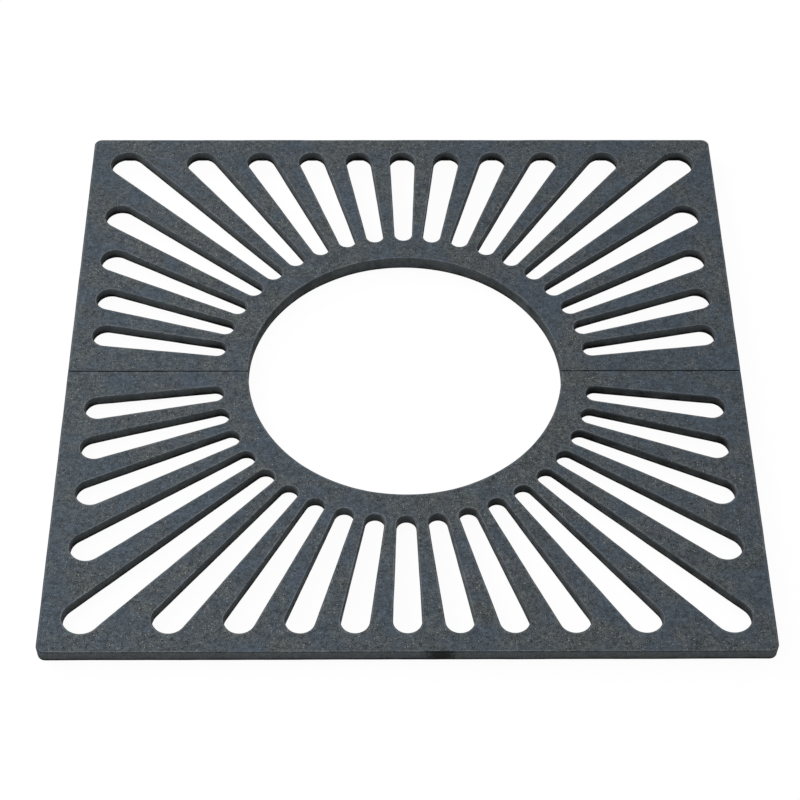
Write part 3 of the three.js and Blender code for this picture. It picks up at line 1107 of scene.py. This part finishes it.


# %% [markdown]
# ## Painted cast iron
# The castings have a thin matt charcoal paint over the grain of the sand. It isn't one grey: where
# the paint is thicker it is bluer, and where it has chalked or gathered dust it is warmer. Feet have
# rubbed the edges lighter, but in the slots nothing rubs. The walls get a lighter tone, which is painted
# light for what the floor throws back. Painted shade darkens the slots, their edges, the underside and
# the seam, and a dark patch lies on the front wall.

# %% Read marks and place the dark patch
BLUE_PAINT = (0.068, 0.086, 0.108, 1)
DUSTY_PAINT = (0.083, 0.091, 0.091, 1)
# The wall tone below is painted light: lighter than the face, for the light the floor throws back.
LIT_WALL_PAINT = (0.104, 0.115, 0.120, 1)
THIN_PAINT = (0.054, 0.065, 0.075, 1)
PALE_FLAKE = (0.30, 0.31, 0.31, 1)
RUBBED_IRON = (0.20, 0.21, 0.22, 1)
# The black below is that of the painted shade.
SHADE_BLACK = (0.005, 0.005, 0.005, 1)
PATCH_DARK = (0.006, 0.006, 0.006, 1)
PATCH_LEFT, PATCH_RIGHT, PATCH_SOFT = 0.042, 0.076, 0.01


def use_group(tree, group, **inputs):
    """Puts a node group into a material, and returns its outputs."""
    return add_node(tree, "Group", inputs, node_tree=group)


def new_material(name):
    """A material with an empty tree. Returns it with its tree and its object coordinates."""
    material = bpy.data.materials.new(name)
    material.use_nodes = True
    tree = material.node_tree
    tree.nodes.clear()
    return material, tree, add_node(tree, "TexCoord")["Object"]


def mark(tree, name):
    """The value of a mark that the mesh carries, such as wear or shelter."""
    return add_node(tree, "Attribute", attribute_name=name)["Fac"]


def cover(tree, height, strength, distance, surface):
    """Ends a material with a bump, from a height, and with the values of its surface."""
    bump = add_node(tree, "Bump", {"Height": height, "Strength": strength, "Distance": distance})
    shader = add_node(tree, "BsdfPrincipled", {**surface, "Normal": bump[0]})
    add_node(tree, "OutputMaterial", {"Surface": shader[0]})


def dark_patch_mask(tree, where):
    """A dark patch on the front wall: a range of x and the front end of y, with noise on its borders."""
    ragged = times(tree, noise(tree, where, 260.0), 0.03)
    place = add_node(tree, "SeparateXYZ", {0: where})
    along = calculate(tree, "ADD", place[0], ragged)
    rising = remap(tree, along, PATCH_LEFT - PATCH_SOFT, PATCH_LEFT + PATCH_SOFT)
    falling = remap(tree, along, PATCH_RIGHT + PATCH_SOFT, PATCH_RIGHT - PATCH_SOFT)
    front = remap(tree, place[1], -0.4975, -0.499)
    return times(tree, times(tree, rising, falling), front)


# %% [markdown]
# ## Layers of paint
# The material is built from below: first the paint in its tones, with a lighter tone on the walls as
# painted light, then what time has done to it, and last the painted shade and a dark patch. Each layer
# is a colour and a mask that says where it shows. Many masks are noise times a mark, and many are
# weaker on the walls, where nobody walks.

# %% Paint the castings
def cast_iron_material():
    """Paint over sand-cast iron: two sizes of patches and a lighter wall tone, which is painted light,
    give the colour, the grain and a mottle multiply it, and flakes, rubbed edges, painted shade and a
    dark patch are laid over it."""
    material, tree, where = new_material("charcoal_cast_iron")
    large = use_group(tree, patches, Vector=where, Size=13.0, Softness=0.14)["Mask"]
    small = use_group(tree, patches, Vector=where, Size=60.0, Softness=0.16)["Mask"]
    grain = use_group(tree, sand_grain, Vector=where, Grain=680.0)
    rubbed = use_group(tree, rubbed_edge, Wear=mark(tree, "wear"), Vector=where, Amount=0.6)["Mask"]
    side = mark(tree, "side")
    paint = tint(tree, large, BLUE_PAINT, DUSTY_PAINT)
    # Painted light: the walls get their lighter tone.
    paint = tint(tree, side, paint, LIT_WALL_PAINT)
    cloudy = times(tree, small, remap(tree, side, 0.0, 1.0, 0.7, 0.15))
    paint = tint(tree, cloudy, paint, THIN_PAINT)
    strength = remap(tree, large, 0.0, 1.0, 0.5, 0.75)
    strength = times(tree, strength, remap(tree, side, 0.0, 1.0, 1.0, 0.3))
    swing = times(tree, remap(tree, grain["Speckle"], 0.0, 1.0, -1.0, 1.0), strength)
    mottle = remap(tree, noise(tree, where, 170.0, detail=2.0), 0.3, 0.7, 0.87, 1.13)
    shade = calculate(tree, "ADD", swing, mottle)
    shade = add_node(tree, "CombineColor", {0: shade, 1: shade, 2: shade})[0]
    paint = tint(tree, 1.0, paint, shade, kind="MULTIPLY")
    flakes = times(tree, grain["Flakes"], remap(tree, large, 0.0, 1.0, 0.5, 0.9))
    flakes = times(tree, flakes, remap(tree, side, 0.0, 1.0, 1.0, 0.2))
    paint = tint(tree, flakes, paint, PALE_FLAKE)
    paint = tint(tree, rubbed, paint, RUBBED_IRON)
    # Painted shade: the mark darkens edges, walls, feet and the underside towards black, broken up by
    # noise.
    shade_noise = remap(tree, noise(tree, where, 38.0, detail=4.0), 0.3, 0.7, 0.6, 1.15)
    painted_shade = times(tree, mark(tree, "painted_shade"), shade_noise, clamp=True)
    paint = tint(tree, painted_shade, paint, SHADE_BLACK)
    paint = tint(tree, times(tree, dark_patch_mask(tree, where), 0.85), paint, PATCH_DARK)
    dull = remap(tree, small, 0.0, 1.0, 0.62, 0.78)
    rough = calculate(tree, "SUBTRACT", dull, times(tree, rubbed, 0.12))
    cover(tree, grain["Height"], 0.55, 0.0005, {
        "Base Color": paint, "Roughness": rough, "Metallic": 0.0, "Specular IOR Level": 0.03})
    return material


# %% [markdown]
# ## Dull zinc
# The bolts, nuts and washers are zinc plated. In the damp under a grate the plating soon loses its
# shine, first in patches with a white bloom. So one mask of clouds sets the colour and the roughness.

# %% Plate the fasteners
def zinc_steel_material():
    """Dull zinc plating: a metal with faint cloudy patches, a fine grain and some white bloom."""
    material, tree, where = new_material("dull_zinc")
    bloom = use_group(tree, patches, Vector=where, Size=190.0, Softness=0.14)["Mask"]
    grain = use_group(tree, sand_grain, Vector=where, Grain=2600.0)
    rough = remap(tree, bloom, 0.0, 1.0, 0.36, 0.6)
    zinc = tint(tree, bloom, (0.52, 0.53, 0.54, 1), (0.62, 0.62, 0.60, 1))
    cover(tree, grain["Height"], 0.3, 0.00006, {"Base Color": zinc, "Roughness": rough, "Metallic": 0.9})
    return material


def finish_all(pieces, material):
    """Gives every piece one material."""
    for piece in pieces:
        piece.data.materials.clear()
        piece.data.materials.append(material)


finish_all(castings, cast_iron_material())
finish_all(fasteners, zinc_steel_material())
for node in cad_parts.values():
    node.data.materials.clear()
    node.data.materials.append(castings[0].data.materials[0])
print("castings painted:", len(castings), "fasteners plated:", len(fasteners))

# %% [markdown]
# ## Floor, light and camera
# The grate lies on a plain pale floor. The camera sees that floor almost white, with a trace of the
# grate's shadow. The light that the floor throws back into the slots is much weaker, as under a real
# grate. From below, the floor is clear, so that the underside can be looked at.

# %% Lay the floor
def seen_rays(tree):
    """One for the rays of the camera and for those that mirrors and glass send on, else nothing."""
    path = add_node(tree, "LightPath")
    seen = calculate(tree, "MAXIMUM", path["Is Camera Ray"], path["Is Glossy Ray"])
    return calculate(tree, "MAXIMUM", seen, path["Is Transmission Ray"])


def floor_material():
    """White with a faint shadow for the camera, grey for the light, and clear from below."""
    material, tree, _ = new_material("pale_floor")
    grey = add_node(tree, "BsdfDiffuse", {"Color": (0.6, 0.6, 0.6, 1)})
    pale = add_node(tree, "BsdfDiffuse", {"Color": (0.05, 0.05, 0.05, 1)})
    glow = add_node(tree, "Emission", {"Color": (1, 1, 1, 1), "Strength": 0.96})
    white = add_node(tree, "AddShader", {0: pale[0], 1: glow[0]})
    above = add_node(tree, "MixShader", {0: seen_rays(tree), 1: grey[0], 2: white[0]})
    below = add_node(tree, "NewGeometry")["Backfacing"]
    both = add_node(tree, "MixShader", {0: below, 1: above[0], 2: add_node(tree, "BsdfTransparent")[0]})
    add_node(tree, "OutputMaterial", {"Surface": both[0]})
    return material


FLOOR_HALF = 20
FLOOR_LEVEL = cad_low.z - 0.3 * MM
floor_mesh = bpy.data.meshes.new("floor")
floor_corners = [(-1, -1), (1, -1), (1, 1), (-1, 1)]
floor_mesh.from_pydata([(FLOOR_HALF * x, FLOOR_HALF * y, FLOOR_LEVEL) for x, y in floor_corners],
                       [], [(0, 1, 2, 3)])
floor_mesh.materials.append(floor_material())
floor = add_object("floor", floor_mesh)


# %% [markdown]
# ## Two soft lamps
# A large soft lamp stands behind the grate on the left. It lights the walking face and leaves the
# walls that face the camera in its shade. A smaller weak lamp hangs over the left side. It makes the
# faces there lighter than those on the right. Both are soft, so no slot throws a hard shadow.

# %% Light the grate
def soft_lamp(name, place, aim, size, power):
    """A square lamp that points from its place at an aim."""
    lamp = bpy.data.lights.new(name, "AREA")
    lamp.shape = "SQUARE"
    lamp.size = size
    lamp.energy = power
    holder = add_object(name, lamp)
    holder.location = place
    holder.rotation_mode = "QUATERNION"
    holder.rotation_quaternion = (Vector(aim) - Vector(place)).to_track_quat("-Z", "Y")


soft_lamp("key", (-3.6, 2.4, 3.1), (0, 0, 0), 2.6, 170)
soft_lamp("overhead", (-0.9, -0.6, 1.8), (-0.3, -0.2, 0), 1.2, 12)
world = bpy.data.worlds.new("studio")
world.use_nodes = True
world_tree = world.node_tree
world_tree.nodes.clear()
sky = add_node(world_tree, "Background", {"Color": (1, 1, 1, 1), "Strength": 0.5})
backdrop = add_node(world_tree, "Background", {"Color": (1, 1, 1, 1), "Strength": 1.0})
either = add_node(world_tree, "MixShader", {0: seen_rays(world_tree), 1: sky[0], 2: backdrop[0]})
add_node(world_tree, "OutputWorld", {"Surface": either[0]})
bpy.context.scene.world = world
bpy.context.scene.view_settings.view_transform = "Standard"

# %% [markdown]
# ## The camera
# The camera looks down on the grate from the front, with a long lens. Its place, its three turns and
# its focal length were fitted to the straight edges of the grate in the photograph. Forward comes
# from pitch and yaw, and right and up are then rolled about it.

# %% Aim the camera
CAMERA_PLACE = (-0.0397, -2.1712, 2.4926 + cad_high.z)
PITCH, YAW, ROLL = (radians(turn) for turn in (49.692, 0.872, 0.587))
PICTURE_WIDTH = 800
SENSOR = 36
FOCAL_PIXELS = 2224.6
forward = Vector((sin(YAW) * cos(PITCH), cos(YAW) * cos(PITCH), -sin(PITCH)))
level_right = forward.cross(Vector((0, 0, 1))).normalized()
level_up = level_right.cross(forward)
right = level_right * cos(ROLL) + level_up * sin(ROLL)
up = level_up * cos(ROLL) - level_right * sin(ROLL)
camera_data = bpy.data.cameras.new("camera")
camera_data.sensor_width = SENSOR
camera_data.lens = FOCAL_PIXELS * SENSOR / PICTURE_WIDTH
camera = add_object("camera", camera_data)
turned = Matrix((right, up, -forward)).transposed().to_4x4()
camera.matrix_world = Matrix.Translation(CAMERA_PLACE) @ turned
bpy.context.scene.camera = camera
print("lens", round(camera_data.lens, 2), "mm")
